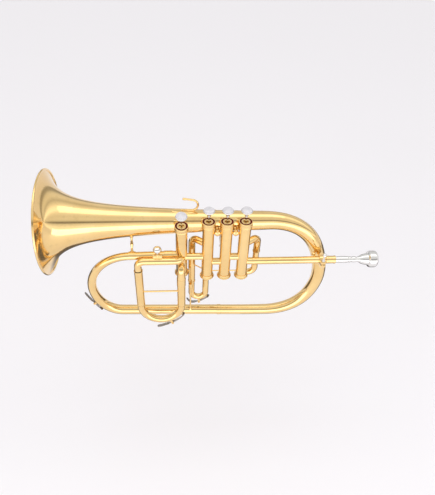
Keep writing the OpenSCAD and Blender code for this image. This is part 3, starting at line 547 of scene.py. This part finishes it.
# Bell: one spun sheet, thin at the mouth, with its edge turned round the rim wire
xs = [BELL_LEN * (i / 150) ** 2.0 for i in range(151)]
outer = [(x, min(bell_at(x), 78.6)) for x in xs]
keep = [i for i, (x, rr) in enumerate(outer) if rr < 78.59 or i == 0]
outer = [outer[i] for i in keep]
if outer[0][1] > 78.5:
    outer[0] = (0.35, 78.6)
inner = []
for i, (x, rr) in enumerate(outer):
    a, b = outer[max(i - 1, 0)], outer[min(i + 1, len(outer) - 1)]
    t = np.array([b[0] - a[0], b[1] - a[1]]); t /= np.linalg.norm(t)
    inner.append((x + WALL * t[1], rr - WALL * t[0]))
prof = outer + [inner[i] for i in range(len(inner) - 1, -1, -1)]
add_mesh("bell_sheet", *lathe(prof, X_AXIS, 224), "lacquered_brass", "horn", ["bell"])
ringp = [(0.8 + 1.7 * math.cos(t), 78.3 + 1.7 * math.sin(t)) for t in [2 * math.pi * k / 28 for k in range(28)]]
add_mesh("rim_bead", *lathe(ringp, X_AXIS, 256), "lacquered_brass", "horn", ["bell_rim_ring"])
a_, b_ = BELL_LEN - 5, BELL_LEN + 7
fer = [(a_, bell_at(a_) + 0.03), (a_, bell_at(a_) + 0.3), (a_ + 1, bell_at(a_ + 1) + 0.4), ((a_ + b_) / 2 - 0.6, (bell_at(a_) + bell_at(b_)) / 2 + 0.4),
       ((a_ + b_) / 2, (bell_at(a_) + bell_at(b_)) / 2 + 0.26), ((a_ + b_) / 2 + 0.6, (bell_at(a_) + bell_at(b_)) / 2 + 0.4),
       (b_ - 1, bell_at(b_ - 1) + 0.4), (b_, bell_at(b_) + 0.3), (b_, bell_at(b_) + 0.03)]
add_mesh("tail_ferrule", *lathe(soften(fer, 0.25), X_AXIS, 96), "lacquered_brass", "horn", ["bell_tail_ferrule"])

def bulge(u):
    return math.sin(math.pi * u) ** 1.5 if 0 < u < 1 else 0.0


def bow_r(u):
    return 8.95 + 4.25 * (1 - u) + 1.75 * (1 - u) ** 8


# Bows: drawn conical tubes on oval centrelines
NB = 120
path = [(x, 0, 0) for x in np.linspace(BELL_LEN + 0.2, 328.8, 20)][:-1]
rad = [bell_at(p[0]) for p in path]
for i in range(NB + 1):
    a = math.radians(90 - i * 90 / NB)
    g = 3.9 * bulge((90 - math.degrees(a)) / 72)
    path.append((328.8 + (104 + g) * math.cos(a), SY * smooth((90 - math.degrees(a)) / 180), -112 + (112 + g) * math.sin(a)))
    rad.append(bow_r(i / NB / 2))
for i in range(1, NB + 1):
    a = math.radians(-i * 90 / NB)
    g = 2.6 * bulge((-math.degrees(a) - 15) / 75)
    path.append((344.8 + (88 + g) * math.cos(a), SY * smooth((90 - math.degrees(a)) / 180), -112 + (82.9 + g) * math.sin(a)))
    rad.append(bow_r(0.5 + i / NB / 2))
for i in range(1, 30):
    u = i / 29
    path.append((344.8 + (265.2 - 344.8) * u, SY, -194.9 + 1.8 * u * u))
    rad.append(8.95 + (8.7 - 8.95) * u)
rad = list(np.convolve(np.pad(rad, 8, mode="edge"), np.ones(17) / 17, mode="valid"))
pp, rr_ = even(path, rad, 2.6)
add_mesh("back_bow_tube", *sweep(pp, rr_, [q - WALL for q in rr_], 64), "lacquered_brass", "horn", ["back_bow"])

path = [(x, VY, EXIT_Z - (179 - x) * 0.03) for x in np.linspace(179, 121.3, 20)][:-1]
rad = [6.2] * len(path)
for i in range(NB + 1):
    a = math.radians(90 - i * 90 / NB)
    path.append((121.3 - 68 * math.cos(a), VY + 18 * smooth((90 - math.degrees(a)) / 180), -122 + 74.97 * math.sin(a)))
    rad.append(6.2 + 2.2 * smooth(i / NB * 0.5))
for i in range(1, NB + 1):
    a = math.radians(-i * 90 / NB)
    path.append((99.3 - 46 * math.cos(a), VY + 18 * smooth((90 - math.degrees(a)) / 180), -122 + 66 * math.sin(a)))
    rad.append(6.2 + 2.2 * smooth(0.5 + i / NB * 0.5))
for i in range(1, 60):
    u = i / 59
    path.append((99.3 + (265 - 99.3) * u, SY, -188 - 5.0 * u))
    rad.append(8.4 + 0.3 * u)
pp, rr_ = even(path, rad, 2.4)
add_mesh("front_bow_tube", *sweep(pp, rr_, [q - WALL for q in rr_], 64), "lacquered_brass", "horn", ["front_bow"])

# Turned pieces
add_mesh("mouthpiece_turned", *lathe(soften([(424.6, 4.0), (424.6, 4.8), (446.9, 5.1), (458, 5.35), (467.4, 5.35), (468.2, 4.5), (468.8, 4.5), (469.4, 5.05),
    (471.6, 5.05), (472.6, 4.2), (473.8, 4.2), (474.8, 4.95), (479.4, 4.95), (481.0, 4.2), (483.4, 4.1), (485.4, 4.8), (487.6, 6.3), (490.0, 7.7), (493.0, 8.6),
    (497.0, 9.3), (499.6, 9.7), (500.4, 11.0), (501.6, 12.7), (503.2, 13.3), (505.4, 13.5), (510.2, 13.5), (512.4, 13.0), (514.2, 11.5), (514.9, 10.1), (514.5, 9.0), (513.2, 8.3)]
    + [(512.4 - 15 * i / 12, 1.9 + 6.3 * math.sqrt(1 - (i / 12) ** 2 * 0.999)) for i in range(1, 13)] + [(492, 1.9), (440, 3.6)], 0.7, 4), LEAD_AXIS, 128),
    "silver_plate", "mouthpiece", ["mouthpiece"])
add_mesh("tuning_tube", *lathe(soften([(388, 4.55), (388, 5.26), (431.2, 5.26), (431.2, 6.3), (431.6, 6.5), (434.2, 6.5), (434.7, 6.25), (443.6, 6.25),
    (444.2, 6.6), (446.4, 6.6), (446.9, 6.3), (446.9, 5.16), (424.2, 4.86), (424.2, 4.55)], 0.25), LEAD_AXIS, 96),
    "lacquered_brass", "tuning", ["tuning_pipe"])
ball = [(-50 + 6 * i) for i in range(24)]
cs = frame_of((424.2, -36.4, LEAD_Z), (0, 0, 1))
add_mesh("clamp_thumb_screw", *lathe(soften([(-8.6, 0), (-8.6, 1.0), (-8.2, 1.5), (5.9, 1.5), (5.9, 3.0), (7.4, 3.0), (8.6, 1.6), (14.2, 1.6)], 0.4, closed=False)
    + [(18.0 + 3.3 * math.sin(math.radians(a)), 3.3 * math.cos(math.radians(a))) for a in ball if a < 86] + [(21.3, 0)], cs, 64),
    "silver_plate", "clamp_screw", ["clamp_screw"])
LYRE = (163.5, -36.8, -38.8)
ls = frame_of(LYRE, (0, 0, 1))
add_mesh("lyre_thumb_screw", *lathe(soften([(2.3, 0), (2.3, 1.47), (5.2, 1.47), (6.0, 2.4), (8.4, 2.2), (9.3, 3.8), (10.3, 5.8), (12.1, 6.5), (14.3, 6.4), (16.3, 5.2),
    (17.5, 3.0), (17.9, 0)], 1.0, 4, closed=False), ls, 96), "silver_plate", "lyre_screw", ["lyre_screw"])

TOP = [(8.5, 9.0), (8.5, 10.0), (8.9, 10.3), (10.4, 10.3), (10.9, 9.9), (12.2, 9.9), (12.8, 10.45), (13.4, 10.45), (17.4, 10.45), (18.0, 10.45), (18.8, 9.9),
       (18.8, 9.25), (17.2, 9.25), (17.2, 6.75), (18.5, 6.75), (18.8, 6.4), (18.8, 4.3), (18.5, 3.95), (15.1, 3.95), (15.1, 2.15), (12.2, 2.15), (12.2, 8.2),
       (14.1, 8.2), (14.1, 9.0)]
BOT = [(-94.2, 2.0), (-94.2, 7.9), (-91.1, 7.9), (-91.1, 9.0), (-85.5, 9.0), (-85.5, 9.7), (-85.9, 10.0), (-88.6, 10.1), (-89.6, 11.3), (-90.2, 11.4),
       (-91.1, 11.1), (-92.0, 10.0), (-93.9, 8.6), (-95.0, 6.6), (-95.4, 4.4), (-96.2, 4.0), (-96.5, 3.5), (-96.5, 2.0)]
tops, bots, felts = [], [], []
for k in (1, 2, 3, 4):
    Mv = valve_frame(k)
    tops.append(lathe(soften(TOP, 0.28), Mv, 192, [(13.0, 17.6, 64, 0.16)]))
    bots.append(lathe(soften(BOT, 0.35), Mv, 192, [(-90.8, -89.7, 64, 0.14)]))
    for prof in ([(17.2, 6.8), (17.2, 9.2), (18.3, 9.2), (18.6, 8.9), (18.6, 7.1), (18.3, 6.8)], [(10.15, 2.4), (10.15, 7.0), (12.2, 7.0), (12.2, 2.4)]):
        v, f = lathe(soften(prof, 0.35), Mv, 120)
        rng = np.random.default_rng(k * 7 + int(prof[0][0]))
        ax = Mv @ Vector((0, 0, 0)) * MM
        v = [p + Vector(tuple(rng.normal(0, 0.00002, 3))) for p in v]
        felts.append((v, f))
    body = "valve_%d" % k
    add_mesh("button_cup_%d" % k, *lathe(soften([(10, 0), (10, 1.9), (28.3, 1.9), (28.5, 2.8), (29.6, 3.1), (31.8, 3.4), (33.2, 4.6), (34.8, 6.6), (36.4, 8.4), (37.2, 8.9),
        (38.2, 8.9), (38.7, 8.4), (38.7, 7.8), (37.5, 7.8), (37.5, 0)], 0.5, closed=False), Mv, 96), "silver_plate", body, ["finger_button_%d" % k])
    add_mesh("pearl_disc_%d" % k, *lathe([(37.52, 0), (37.52, 7.75), (39.4, 7.75)] + [(39.4 + 3.0 * math.sin(math.radians(a)), 7.75 * math.cos(math.radians(a)))
        for a in range(6, 90, 6)] + [(42.4, 0)], Mv, 96), "pearl", body, ["button_pearl_%d" % k])
    coil = []
    for i in range(0, 6 * 60 + 31):
        u = i / (6.5 * 60)
        h = -93.8 + 21.15 * (u * 0.33 if u < 0.15 else 1 - (1 - u) * 0.33 if u > 0.85 else 0.05 + (u - 0.15) * 0.9 / 0.7)
        coil.append(Mv @ Vector((6.4 * math.cos(2 * math.pi * 6.5 * u), 6.4 * math.sin(2 * math.pi * 6.5 * u), h)))
    sp = add_mesh("coil_spring_%d" % k, *sweep(coil[::3], [0.45] * len(coil[::3]), None, 10), "spring_steel", "horn", ["valve_spring_%d" % k])
    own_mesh(sp)
add_mesh("top_caps_knurled", *joined(*tops), "lacquered_brass", "horn", ["top_caps"])
add_mesh("bottom_caps_knurled", *joined(*bots), "lacquered_brass", "horn", ["bottom_caps"])
add_mesh("felt_rings", *joined(*felts), "red_felt", "horn", ["cap_felts"])

# Little finger hook: a bent wire on a soldered diamond plate
wire = [(201, 0, 20.6), (209, 0, 20.6)] + [(216.2 + 9.2 * math.cos(math.radians(a)), 0, 29.8 + 9.2 * math.sin(math.radians(a))) for a in range(-90, 83, 6)]
wire += [(213, 0, 39.75), (208.5, 0, 40.35), (203.88, 0, 40.83)]
ww, _ = even(wire, [0] * len(wire), 0.8)
rad = [1.6 if i < len(ww) - 9 else 1.6 + 0.35 * smooth((i - len(ww) + 9) / 9) for i in range(len(ww))]
hv = sweep(ww, rad, None, 28, cap_round=0.9)
pv, pf = [], []
NU, NW = 40, 24
grid = []
for lay in (0, 1):
    for i in range(NU + 1):
        u = i / NU
        x = 185 + 39 * u
        half = 17.5 * (0.25 + 0.75 * math.sin(math.pi * u) ** 0.8)
        for j in range(NW + 1):
            w = -1 + 2 * j / NW
            t = math.radians(half * w)
            edge = min(1.0, min(u, 1 - u) * 14, (1 - abs(w)) * 5)
            rr0 = bell_at(x) + (0.02 if lay == 0 else 0.15 + 1.15 * math.sqrt(max(edge, 0)))
            pv.append(Vector((x, rr0 * math.sin(t), rr0 * math.cos(t))) * MM)
G = (NU + 1) * (NW + 1)
idx = lambda lay, i, j: lay * G + i * (NW + 1) + j
for i in range(NU):
    for j in range(NW):
        pf.append((idx(1, i, j), idx(1, i + 1, j), idx(1, i + 1, j + 1), idx(1, i, j + 1)))
        pf.append((idx(0, i, j), idx(0, i, j + 1), idx(0, i + 1, j + 1), idx(0, i + 1, j)))
for i in range(NU):
    pf.append((idx(0, i, 0), idx(0, i + 1, 0), idx(1, i + 1, 0), idx(1, i, 0)))
    pf.append((idx(0, i + 1, NW), idx(0, i, NW), idx(1, i, NW), idx(1, i + 1, NW)))
for j in range(NW):
    pf.append((idx(0, 0, j + 1), idx(0, 0, j), idx(1, 0, j), idx(1, 0, j + 1)))
    pf.append((idx(0, NU, j), idx(0, NU, j + 1), idx(1, NU, j + 1), idx(1, NU, j)))
add_mesh("finger_hook_wire", *joined(hv, (pv, pf)), "lacquered_brass", "horn", ["finger_hook"])


# Water keys: paddle, barrel, bowed arm and cup
def strap(P, widths, thick, n=20):
    """A flat strap with rounded edges along points P (x, z in mm, in the plane of y), width across y."""
    P = [Vector((p[0], 0, p[1])) for p in P]
    L = len(P)
    V, Fc, rings = [], [], []
    for i in range(L):
        t = (P[min(i + 1, L - 1)] - P[max(i - 1, 0)]).normalized()
        nn = Vector((-t.z, 0, t.x))
        ids = []
        for k in range(n):
            a = 2 * math.pi * k / n
            ca, sa = math.cos(a), math.sin(a)
            y = widths[i] * math.copysign(abs(ca) ** 0.45, ca)
            z = thick[i] * math.copysign(abs(sa) ** 0.8, sa)
            ids.append(len(V))
            V.append(P[i] + Vector((0, y, 0)) + nn * z)
        rings.append(ids)
    for i in range(L - 1):
        for k in range(n):
            j = (k + 1) % n
            Fc.append((rings[i][k], rings[i][j], rings[i + 1][j], rings[i + 1][k]))
    Fc.append(tuple(reversed(rings[0])))
    Fc.append(tuple(rings[-1]))
    return V, Fc


def water_key(name, p, y, nip, na, bulge, T, body, node, cork_node, cork_name):
    na_ = math.radians(na)
    out_ = np.array([math.cos(na_), math.sin(na_)])
    cup = np.array(nip) + 4.16 * out_
    q = cup - np.array(p)
    o = Vector((p[0], y, p[1]))
    qe = q + 0.5 * out_
    mid = qe / 2 + bulge * np.array([qe[1], -qe[0]]) / np.linalg.norm(qe)
    arm = [2 * u * (1 - u) * mid + u * u * qe for u in np.linspace(0, 1, 22)]
    a1 = strap(arm, [1.45 - 0.15 * u for u in np.linspace(0, 1, 22)], [1.45 - 0.85 * smooth(u) for u in np.linspace(0, 1, 22)])
    tp = spline([(t[0], t[1]) for t in T], 8)
    d = np.r_[0, np.cumsum([np.linalg.norm(tp[i + 1] - tp[i]) for i in range(len(tp) - 1)])]
    Lt = d[-1]
    wd = []
    for s_ in d:
        w = 1.75 + (2.95 - 1.75) * smooth(min(max((s_ - 3.4) / 5, 0), 1))
        e = (Lt - s_) / 3.0
        if e < 1:
            w *= math.sqrt(max(1 - (1 - e) ** 2, 0.02))
        wd.append(w)
    th = [1.3 - 0.65 * smooth(min(s_ / 6, 1)) for s_ in d]
    tab = strap(tp, wd, th)
    barrel = lathe(soften([(-2.4, 0.93), (-2.4, 1.9), (2.4, 1.9), (2.4, 0.93)], 0.3), frame_of((0, 0, 0), (0, 1, 0)), 48)
    barrel = ([v / MM for v in barrel[0]], barrel[1])
    back = Vector((-out_[0], 0, -out_[1]))
    cupm = frame_of((q[0], 0, q[1]), back)
    cupl = lathe(soften([(-0.9, 0), (-0.5, 1.4), (0.1, 2.5), (0.0, 3.2), (1.3, 3.2), (1.3, 0)], 0.3, closed=False), cupm, 48)
    cupl = ([v / MM for v in cupl[0]], cupl[1])
    V, Fc = joined(a1, tab, barrel, cupl)
    add_mesh(name, [(v + o) * MM for v in V], Fc, "nickel_lever", body, [node])
    ck = lathe(soften([(1.3, 0), (1.3, 2.6), (1.9, 2.75), (2.5, 2.55), (2.5, 0)], 0.3, closed=False), cupm, 48)
    add_mesh(cork_name, [(v / MM + o) * MM for v in ck[0]], ck[1], "dark_cork", body, [cork_node])


def polar(cx, cz, rr, deg):
    return (cx + rr * math.cos(math.radians(deg)), cz + rr * math.sin(math.radians(deg)))


S4M, S4OR, S4C = (132.8 + 199.1) / 2, (199.1 - 132.8) / 2 + 6.15, -146.8
S3M, S3OR, S3C = (216.5 + 240.2) / 2, (240.2 - 216.5) / 2 + 5.25, -146.4
water_key("slide_4_lever", polar(S4M, S4C, S4OR + 5.7, -66.5), S4Y, polar(S4M, S4C, S4OR, -31), -31, 3.5,
          [(0, 0), (-8, -3.6), (-14, -6.3), (-20, -8.6), (-26.5, -10.2)], "slide_4_key", "slide_4_water_key", "slide_4_key_cork", "slide_4_pad")
water_key("slide_3_lever", polar(S3M, S3C, S3OR + 6.4, -87), SY, polar(S3M, S3C, S3OR, -35), -35, 1.5,
          [(0, 0), (-8, -1.6), (-12.5, -1.5), (-16.5, 0.8), (-19.5, 4.4), (-21.4, 7.6)], "slide_3_key", "slide_3_water_key", "slide_3_key_cork", "slide_3_pad")
water_key("front_lever", (51.3, -164.9), -11.9, (63.5, -177.7), -140, 1.0,
          [(0, 0), (-4.4, 6.6), (-7.4, 11.8), (-10.2, 17.5), (-13.6, 24.2)], "front_key", "front_water_key", "front_key_cork", "front_pad")


for name, ob in NODES.items():
    ob.data.materials.clear()
    ob.data.materials.append(MATS[SLOT[name]])
    for poly in ob.data.polygons:
        poly.use_smooth = True
